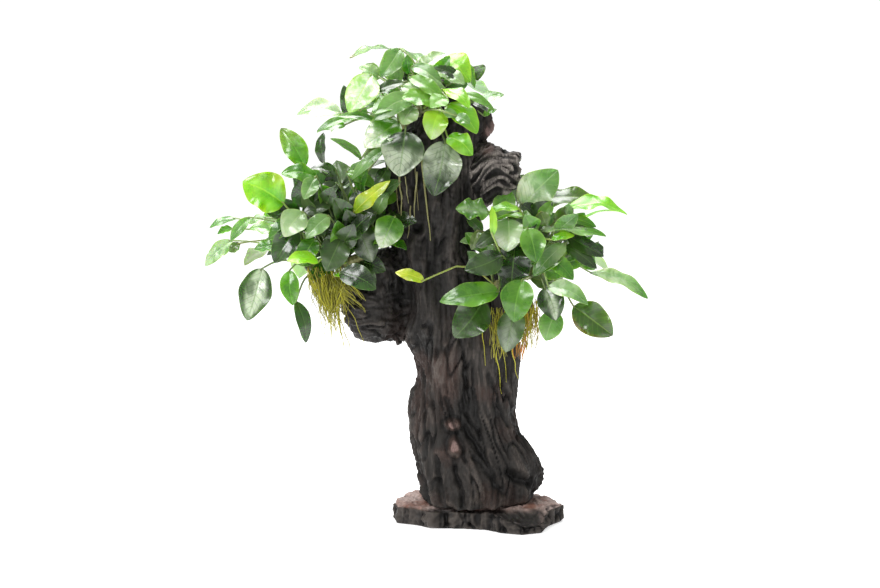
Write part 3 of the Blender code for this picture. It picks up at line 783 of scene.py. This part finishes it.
# how far the wood stands out at a point in mm, how deep in a furrow it is and how red it is
def woodRelief(x, y, z, knob, limb, front):
    sweep = woodForm["sweep"] * smoothStep(125, 15, z) * smoothStep(-46, -6, x)
    # gx, gy and gz run along and across the grain
    gx = x - sweep + 5 * noiseAt(x / 55, y / 55, z / 60)
    bowl = max(smoothStep(*woodForm["knobReach"], math.dist((x, y, z), knob)),
               smoothStep(*woodForm["limbReach"], math.dist((x, y, z), limb)))
    if bowl > 0.5:
        # folds run across the knob and round the bowl of the limb
        middle, lean = (knob, 0.012) if z > woodForm["knobTop"] else (limb, -0.010)
        gx = z + 6 * noiseAt(x / 24, y / 24, z / 34) + lean * (x - middle[0] - 12) ** 2
        gy, gz, reach = y * 0.35, x, 0.8
    else:
        gy, gz, reach = y, z, 1.0
    broken = noiseAt(x / 18, y / 18, z / 9 + 4)
    gz += 3 * broken
    rope = noiseAt(gx / 14 * reach, gy / 14, gz / 56 / reach)
    cut = smoothStep(0.13, 0.0, abs(noiseAt(gx / 7.5 + 3, gy / 7.5, gz / 34 / reach)))
    cut *= smoothStep(-0.3, 0.15, noiseAt(x / 25 + 9, y / 25, z / 34))
    height = woodForm["rope"] * 1.6 * rope - woodForm["furrow"] * cut
    ridge = crest(gx / 4.2 * reach, gy / 4.2, gz / 30 / reach)
    fine = crest(gx / 2.1, gy / 2.1, gz / 16)
    height += woodForm["ridge"] * (1 + 0.9 * bowl) * ridge + woodForm["fineRidge"] * fine
    height += woodForm["grit"] * 2 * noiseAt(x / 1.7, y / 1.7, z / 2.2)
    crumble = smoothStep(70, 24, z) * 0.8 + smoothStep(190, 230, z) * 0.7
    height += crumble * (1.6 * noiseAt(x / 7, y / 7, z / 6) + 0.9 * crest(x / 4, y / 4, z / 5))
    red = 0.0
    if front > 0.2:
        wobbleX = x + 2.2 * noiseAt(x / 9, 4, z / 9)
        wobbleZ = z + 2.0 * noiseAt(x / 9, 14, z / 9)
        for start, end, width, depth in furrows:
            near = smoothStep(width * 1.5, 0, lineDistance(wobbleX, wobbleZ, start, end)) * front
            height -= depth * near
            cut = max(cut, near)
        for middleX, middleZ, wide, high, out, redness in lumps:
            away = math.hypot((wobbleX - middleX) / wide, (wobbleZ - middleZ) / high)
            near = smoothStep(1.25, 0.4, away) * front
            height += out * near
            red = max(red, redness * near)
            if out > 2 or out < 0:
                rim = smoothStep(0.3, 0.0, abs(away - 1.25)) * front
                height -= 1.2 * rim if out > 0 else 0.0
                cut = max(cut, rim if out > 0 else near)
    return height, cut, red, ridge, fine


def buildWood():
    mesh = skinOf(woodForm["nodes"], woodForm["voxel"], woodForm["swell"], 8)
    knob, limb = (sum(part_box(node), Vector()) / 2 / mm for node in ("knob", "left_limb"))
    limb += Vector(woodForm["bowl"])
    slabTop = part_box("trunk")[0].z
    normals = [vertex.normal.copy() for vertex in mesh.vertices]
    points, reliefs, grains = [], [], []
    for vertex, normal in zip(mesh.vertices, normals):
        x, y, z = vertex.co / mm
        height, cut, red, ridge, fine = woodRelief(x, y, z, knob, limb, smoothStep(0.5, -0.3, normal.y))
        flare = smoothStep(slabTop / mm + woodForm["foot"], slabTop / mm, z) * smoothStep(0.2, -0.5, normal.y)
        flare *= 1 + 1.2 * noiseAt(x / 9, 2, 0)
        out = Vector((normal.x, normal.y, normal.z * (1 - flare)))
        point = vertex.co + out * (height * mm * smoothStep(slabTop / mm - 1, slabTop / mm + 5, z))
        # the short horn on the knob's right
        horn = smoothStep(9, 2, math.dist((x, z), (knob.x + 15, knob.z + 14)))
        point.x += woodForm["horn"][0] * horn * mm
        point.z += woodForm["horn"][1] * horn * mm
        point.y -= flare * (5 + 7 * smoothStep(40, 5, x)) * mm
        point.z = max(point.z, slabTop - 0.4 * mm)
        points.append(point)
        reliefs.append((height / 4, cut, red))
        grains.append((ridge, fine, smoothStep(*woodForm["knobReach"], math.dist((x, y, z), knob))))
    mesh.vertices.foreach_set("co", [c for point in points for c in point])
    finishMesh(mesh, {"relief": reliefs, "grain": grains})
    wood = addObject("driftwood", mesh, [woodMaterial()])
    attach(wood, "root")
    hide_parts(*woodForm["nodes"])
    print("wood:", len(mesh.polygons), "faces")
    return BVHTree.FromPolygons(points, [tuple(face.vertices) for face in mesh.polygons])


woodLook = {
    # furrow is a near-black used as painted shade in the furrows and low places, and also for the fine dark
    # grain lines and the darker upper wood
    "furrow": (0.0045, 0.0040, 0.0035),
    "body": (0.022, 0.0185, 0.016),
    # the two crest colours are painted highlights on the ridge crests, much paler on the knob
    "crest": (0.105, 0.086, 0.074),
    "knobHighlight": (0.76, 0.67, 0.61),
    "red": (0.070, 0.035, 0.026),
    "pink": (0.50, 0.33, 0.30),
    "roughness": (0.5, 0.8),
    "shine": 0.3,
    "bumpDepth": 0.6 * mm,
}


def woodMaterial():
    made, tree, shader = newMaterial("trunk_wood")
    height, cut, red = separate(tree, attribute(tree, "relief"))
    ridge, fineRidge, onKnob = separate(tree, attribute(tree, "grain"))
    streak = noiseNode(tree, 1.0, 5.0, stretch=(420, 420, 45))
    fine = noiseNode(tree, 1.0, 4.0, stretch=(1500, 1500, 160))
    patch = noiseNode(tree, 30.0, 3.0)
    up = separate(tree, tree.nodes.new("ShaderNodeTexCoord").outputs["Object"])[2]
    low = stepNode(tree, up, 0.13, 0.20, 1.0, 0.15)
    patchy = times(tree, stepNode(tree, patch, 0.5, 0.66, 0.0, 0.4), low)
    redness = mathNode(tree, "MAXIMUM", patchy, times(tree, red, 0.75))
    # painted highlight: the tops of the ridges and the folds of the knob are made pale
    lit = times(tree, stepNode(tree, height, -0.1, 0.9), stepNode(tree, ridge, 0.0, 0.8))
    lit = times(tree, lit, stepNode(tree, fineRidge, -0.2, 0.7, 0.35, 1.0))
    knobLit = times(tree, stepNode(tree, ridge, 0.22, 0.78), onKnob)
    lit = mathNode(tree, "MAXIMUM", lit, times(tree, knobLit, stepNode(tree, streak, 0.38, 0.6, 0.25, 0.9)))
    highlightStrength = stepNode(tree, onKnob, 0.0, 1.0, 0.62, 1.0)
    crestHighlightColour = mixColour(tree, onKnob, woodLook["crest"], woodLook["knobHighlight"])
    # painted shade: the low places keep the near-black and the furrows are darkened again
    colour = layered(tree, woodLook["furrow"], (
        (stepNode(tree, height, -0.9, 0.25), woodLook["body"]),
        (redness, woodLook["red"]),
        (times(tree, lit, highlightStrength), crestHighlightColour),
        (stepNode(tree, red, 1.0, 1.5, 0.0, 0.85), woodLook["pink"]),
        (times(tree, cut, 0.85), woodLook["furrow"]),
        (stepNode(tree, up, 0.15, 0.21, 0.0, 0.35), woodLook["furrow"]),
        (stepNode(tree, fine, 0.35, 0.65, 0.45, 0.0), woodLook["furrow"]),
    ))
    grain = mathNode(tree, "ADD", times(tree, streak, 0.8), times(tree, fine, 0.5))
    fill(tree, shader, {
        "Base Color": colour,
        "Roughness": stepNode(tree, streak, 0.3, 0.7, *woodLook["roughness"]),
        "Specular IOR Level": woodLook["shine"],
        "Normal": bumpNode(tree, grain, 0.8, woodLook["bumpDepth"]),
    })
    return made


woodSearch = buildWood()
print("wood done")


slabForm = {"voxel": 1.1 * mm, "flute": 3.0, "crumb": 1.2, "chip": 1.1, "flake": 2.2, "drop": 7.5}
slabLook = {
    # the first colour is painted shade for the low places of the side flutes
    "sidePaintedShade": (0.005, 0.0043, 0.004),
    "side": (0.066, 0.055, 0.048),
    "topRed": (0.26, 0.115, 0.080),
    # the next colour is a painted sheen for the top
    "topPaintedSheen": (0.55, 0.42, 0.38),
    "speck": (0.035, 0.02, 0.016),
    # the next colour is painted shade for the low places of the top
    "topHollowShade": (0.02, 0.012, 0.010),
    "roughness": (0.36, 0.62),
    "bumpDepth": 0.5 * mm,
}


def slabMaterial():
    made, tree, shader = newMaterial("slab_stone")
    height, flat, broken = separate(tree, attribute(tree, "relief"))
    patch = noiseNode(tree, 45.0, 4.0)
    fine = noiseNode(tree, 420.0, 5.0)
    # painted shade: the low places of the side flutes are darker
    side = mixColour(tree, stepNode(tree, height, -0.7, 0.9), slabLook["sidePaintedShade"], slabLook["side"])
    top = layered(tree, slabLook["topRed"], (
        # painted reflection: pale patches of sheen on the top
        (stepNode(tree, patch, 0.38, 0.62), slabLook["topPaintedSheen"]),
        (stepNode(tree, fine, 0.4, 0.7, 0.4, 0.0), slabLook["speck"]),
        # painted shade in the low places of the top
        (stepNode(tree, height, -0.1, -0.7, 0.0, 0.8), slabLook["topHollowShade"]),
        (times(tree, broken, 0.9), side),
    ))
    fill(tree, shader, {
        "Base Color": mixColour(tree, flat, side, top),
        "Roughness": stepNode(tree, patch, 0.3, 0.7, *slabLook["roughness"]),
        "Specular IOR Level": stepNode(tree, flat, 0.3, 0.8, 0.25, 0.5),
        "Normal": bumpNode(tree, fine, 0.6, slabLook["bumpDepth"]),
    })
    return made


def buildSlab():
    mesh = skinOf(("slab",), slabForm["voxel"], 0.0, 5)
    low, high = (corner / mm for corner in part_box("slab"))
    normals = [vertex.normal.copy() for vertex in mesh.vertices]
    points, reliefs = [], []
    for vertex, normal in zip(mesh.vertices, normals):
        x, y, z = vertex.co / mm
        flat = smoothStep(0.35, 0.8, normal.z)
        flute = noiseAt(x / 9, y / 9, z / 26) + 0.4 * crest(x / 5, y / 5, z / 18)
        flute -= smoothStep(0.12, 0, abs(noiseAt(x / 9 + 5, y / 9, z / 24)))
        height = slabForm["flute"] * flute + slabForm["crumb"] * noiseAt(x / 2.6, y / 2.6, z / 2.6)
        height += slabForm["chip"] * crest(x / 12, y / 12, z / 7)
        flake = noiseAt(x / 15, y / 15, 3.0) + 0.5 * noiseAt(x / 6, y / 6, 9.0)
        flake += 0.25 * crest(x / 4, y / 7, 2.0)
        flake -= 0.8 * smoothStep(0.06, 0, abs(noiseAt(x / 18 + 2, y / 18, 6.0)))
        height = height * (1 - flat) + slabForm["flake"] * flake * flat
        # the front of the top is dark and broken, as the foot of the trunk is
        broken = smoothStep(-31, -41, y + 5 * noiseAt(x / 8, y / 8, 1))
        broken *= smoothStep(-60, -50, x) * smoothStep(66, 48, x)
        height -= broken * flat * (1.5 + 3.5 * abs(noiseAt(x / 6, y / 9, 12)))
        rise = smoothStep(0.5, 3.0, z)
        out = Vector((normal.x, normal.y, max(normal.z, 0.0)))
        point = Vector((x, y, z)) + out * ((height - 0.6) * rise)
        corner = smoothStep(10, 45, x) * smoothStep(-30, -55, y)  # the front right corner slopes down
        point.z -= slabForm["drop"] * corner * smoothStep(2, high.z, z)
        point.x = min(max(point.x, low.x - 1), high.x + 1)
        point.y = min(max(point.y, low.y - 1), high.y + 1)
        point.z = min(max(point.z, 0.0), high.z + 0.6)
        points.append(point * mm)
        reliefs.append((height / 3, flat, broken))
    mesh.vertices.foreach_set("co", [c for point in points for c in point])
    finishMesh(mesh, {"relief": reliefs})
    slab = addObject("stone_slab", mesh, [slabMaterial()])
    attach(slab, "root")
    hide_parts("slab")


buildSlab()
print("slab done")


rhizomeForm = {"voxel": 0.7 * mm, "rings": 0.35, "lumps": 0.5}
rhizomeLook = {"deep": (0.045, 0.05, 0.014), "pale": (0.20, 0.20, 0.065), "roughness": 0.5,
               "bumpDepth": 0.5 * mm}


def rhizomeMaterial():
    made, tree, shader = newMaterial("rhizome_green")
    patch = noiseNode(tree, 120.0, 4.0)
    colour = mixColour(tree, stepNode(tree, patch, 0.35, 0.65), rhizomeLook["deep"], rhizomeLook["pale"])
    fill(tree, shader, {"Base Color": colour, "Roughness": rhizomeLook["roughness"],
                        "Normal": bumpNode(tree, patch, 1.0, rhizomeLook["bumpDepth"])})
    return made


rhizomeFinish = rhizomeMaterial()


def buildRhizome(plant):
    node = f"{plant}_rhizome"
    mesh = skinOf((node,), rhizomeForm["voxel"], 0.0, 4)
    normals = [vertex.normal.copy() for vertex in mesh.vertices]
    for vertex, normal in zip(mesh.vertices, normals):
        x, y, z = vertex.co / mm
        ringed = math.sin((x * 0.9 + z * 0.5) * 1.6 + 2 * noiseAt(x / 9, y / 9, z / 9))
        out = rhizomeForm["rings"] * ringed + rhizomeForm["lumps"] * noiseAt(x / 3, y / 3, z / 3)
        vertex.co += normal * out * mm
    mesh.shade_smooth()
    rod = addObject(f"{node}_stem", mesh, [rhizomeFinish])
    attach(rod, "root")
    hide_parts(node)


# bundles of roots: how many, where they start (low and high corner), how long,
# which x they lean to, thickness, tone (-1 tan, 0 olive, 1 yellow, 2 orange) and how much they curl
rootBundles = {
    "top": (),
    "left": (
        {"count": 230, "low": (-141, -42, 212), "high": (-106, -22, 223), "length": (12, 36),
         "pull": -122, "radius": (0.28, 0.5), "tone": (0.1, 1.0), "curl": (2.5, 7.0)},
        {"count": 60, "low": (-134, -42, 206), "high": (-114, -28, 216), "length": (30, 50),
         "pull": -116, "radius": (0.28, 0.5), "tone": (0.4, 1.0), "curl": (2.0, 5.0)},
        {"count": 4, "low": (-122, -40, 200), "high": (-116, -34, 206), "length": (52, 66),
         "pull": -98, "radius": (0.4, 0.55), "tone": (0.7, 1.0), "curl": (1.5, 3.0)},
        {"count": 26, "low": (-122, -44, 204), "high": (-108, -36, 218), "length": (10, 22),
         "pull": -62, "radius": (0.28, 0.45), "tone": (0.2, 0.9), "curl": (3.0, 6.0)},
    ),
    "right": (
        {"count": 80, "low": (34, -48, 184), "high": (50, -38, 196), "length": (16, 38),
         "pull": 42, "radius": (0.28, 0.5), "tone": (0.9, 1.5), "curl": (2.0, 5.0)},
        {"count": 70, "low": (10, -50, 176), "high": (30, -42, 190), "length": (14, 34),
         "pull": 18, "radius": (0.25, 0.45), "tone": (0.3, 1.1), "curl": (1.5, 4.0)},
        {"count": 16, "low": (26, -50, 158), "high": (40, -44, 166), "length": (8, 16),
         "pull": 36, "radius": (0.3, 0.5), "tone": (1.5, 2.0), "curl": (1.5, 3.0)},
    ),
}
# single strands that lie on the wood: x and z of start and end, thickness, tone
rootStrands = {
    "top": ((-65, 300, -62, 256, 0.9, -0.6), (-68, 292, -65, 262, 0.65, -0.8),
            (-50, 300, -53, 259, 0.75, -0.6), (-55, 272, -58, 244, 0.65, -0.7),
            (-46, 310, -39, 243, 0.95, -0.5), (-52, 306, -49, 268, 0.5, -0.8),
            (-60, 296, -57, 274, 0.5, -0.8)),
    "left": ((-118, 200, -104, 208, 0.35, 0.3), (-112, 206, -96, 196, 0.35, 0.3),
             (-134, 200, -140, 184, 0.3, 0.6)),
    "right": ((4, 178, 7, 138, 0.45, 0.8), (16, 150, 21, 112, 0.5, 0.9), (28, 160, 34, 128, 0.45, 1.0),
              (12, 170, 16, 140, 0.4, 0.7), (22, 156, 25, 122, 0.35, 0.9), (38, 166, 39, 140, 0.35, 1.0)),
}


rootLook = {
    "olive": (0.13, 0.14, 0.012),
    "yellow": (0.50, 0.47, 0.025),
    "orange": (0.66, 0.24, 0.015),
    "tan": (0.36, 0.34, 0.17),
    "shade": (0.10, 0.085, 0.02),
    "spot": (0.12, 0.09, 0.02),
    "roughness": 0.5,
    "glow": 0.1,
    "glowReach": (0.002, 0.002, 0.001),
}


def rootMaterial():
    made, tree, shader = newMaterial("root_yellow")
    tone, shade, _ = separate(tree, attribute(tree, "place"))
    colour = layered(tree, rootLook["olive"], (
        (stepNode(tree, tone, 0.0, 1.0), rootLook["yellow"]),
        (stepNode(tree, tone, 1.0, 2.0), rootLook["orange"]),
        (stepNode(tree, tone, -1.0, 0.0, 1.0, 0.0), rootLook["tan"]),
        (stepNode(tree, shade, 0.3, 1.0, 0.0, 0.6), rootLook["shade"]),
        (stepNode(tree, noiseNode(tree, 260.0, 2.0), 0.5, 0.8, 0.0, 0.5), rootLook["spot"]),
    ))
    fill(tree, shader, {
        "Base Color": colour,
        "Roughness": rootLook["roughness"],
        "Subsurface Weight": rootLook["glow"],
        "Subsurface Radius": rootLook["glowReach"],
    })
    return made


rootFinish = rootMaterial()


def buildRoots(plant):
    node = f"{plant}_roots"
    dice = random.Random(node)
    verts, faces, places = [], [], []

    def addRoot(line, radius, tone):
        last = len(line) - 1
        made = tube(line, [radius * mm * (1 - 0.65 * (k / last) ** 2) for k in range(last + 1)], 5)
        faces.extend(tuple(v + len(verts) for v in face) for face in made[1])
        verts.extend(made[0])
        places.extend([(tone, dice.random(), 0.0)] * len(made[0]))

    for bundle in rootBundles[plant]:
        for _ in range(bundle["count"]):
            start = Vector([dice.uniform(a, b) for a, b in zip(bundle["low"], bundle["high"])])
            length = dice.uniform(*bundle["length"])
            aside = dice.uniform(-0.35, 0.35)
            seed = dice.uniform(0, 90)
            curl = dice.uniform(*bundle["curl"])
            line = []
            for k in range(14):
                share = k / 13
                x = start.x + (bundle["pull"] - start.x) * 0.75 * share * length / 45
                x += aside * length * share * (1 - share * 0.5)
                swing = curl * min(share * 3, 1)
                line.append(Vector((x + swing * noiseAt(seed, share * length / 11, 0),
                                    start.y + swing * noiseAt(seed, share * length / 11, 7) - 1.5 * share,
                                    start.z - length * share + 1.4 * noiseAt(seed, share * 4, 15))) * mm)
            addRoot(line, dice.uniform(*bundle["radius"]), dice.uniform(*bundle["tone"]))
    for startX, startZ, endX, endZ, radius, tone in rootStrands[plant]:
        seed = dice.uniform(0, 90)
        line, front = [], -38.0
        for k in range(22):
            share = k / 21
            x = startX + (endX - startX) * share + 1.6 * noiseAt(seed, share * 4, 0)
            z = startZ + (endZ - startZ) * share
            hit = woodSearch.ray_cast(Vector((x, -90, z)) * mm, Vector((0, 1, 0)))[0]
            front = hit.y / mm if hit and hit.y < -20 * mm else front
            line.append(Vector((x, front - radius - 0.2, z)) * mm)
        for _ in range(3):
            line = [line[0]] + [(line[k - 1] + line[k] + line[k + 1]) / 3 for k in range(1, 21)] + [line[-1]]
        addRoot([point - Vector((0, 0.5 * mm, 0)) for point in line], radius, tone)
    mesh = meshFrom(f"{node}_fibres", verts, faces, {"place": places})
    fibres = addObject(f"{node}_fibres", mesh, [rootFinish])
    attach(fibres, "root")
    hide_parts(node)


for plant in plants:
    buildRhizome(plant)
    buildRoots(plant)
print("rhizomes and roots done")


stage = {
    "camera": (-0.031, -1.59, 0.42),
    "target": (-0.031, 0.0, 0.194),
    "lens": 77.3,
    "floorSize": 12.0,
    "skyStrength": 0.5,
    "backdrop": 1.1,
    "floorGlow": 0.62,
    "lit": (-0.03, 0, 0.2),
}
# place, size and power of the two soft lights
lights = {
    "overhead": ((-0.25, 0.25, 1.25), (1.1, 0.8), 24),
    "frontLeft": ((-0.9, -1.0, 1.15), (0.6, 0.6), 14),
}


def aim(item, target):
    item.rotation_euler = (Vector(target) - item.location).to_track_quat("-Z", "Y").to_euler()


def addLight(name, place, size, power):
    light = bpy.data.lights.new(name, "AREA")
    light.shape = "RECTANGLE"
    light.size, light.size_y = size
    light.energy = power
    lamp = bpy.data.objects.new(name, light)
    bpy.context.scene.collection.objects.link(lamp)
    lamp.location = place
    aim(lamp, stage["lit"])


def buildStage():
    scene = bpy.context.scene
    camera = bpy.data.objects.new("camera", bpy.data.cameras.new("camera"))
    scene.collection.objects.link(camera)
    camera.location = stage["camera"]
    camera.data.lens = stage["lens"]
    camera.data.sensor_width = 36.0
    aim(camera, stage["target"])
    scene.camera = camera
    bpy.ops.mesh.primitive_plane_add(size=stage["floorSize"])
    floor = bpy.context.object
    floor.name = "floor"
    floor.location.z = cadBox[0].z - 0.1 * mm
    finish, tree, shader = newMaterial("floor")
    fill(tree, shader, {"Base Color": (0.9, 0.9, 0.9, 1), "Roughness": 0.6, "Emission Color": (1, 1, 1, 1),
                        "Emission Strength": stage["floorGlow"]})
    floor.data.materials.append(finish)
    world = bpy.data.worlds.new("studio")
    world.use_nodes = True
    tree = world.node_tree
    seen = tree.nodes.new("ShaderNodeLightPath").outputs["Is Camera Ray"]
    fill(tree, tree.nodes["Background"], {
        "Color": (1, 1, 1, 1),
        "Strength": stepNode(tree, seen, 0.0, 1.0, stage["skyStrength"], stage["backdrop"]),
    })
    scene.world = world
    scene.view_settings.view_transform = "Standard"
    for name, (place, size, power) in lights.items():
        addLight(name, place, size, power)


buildStage()
print("stage done")
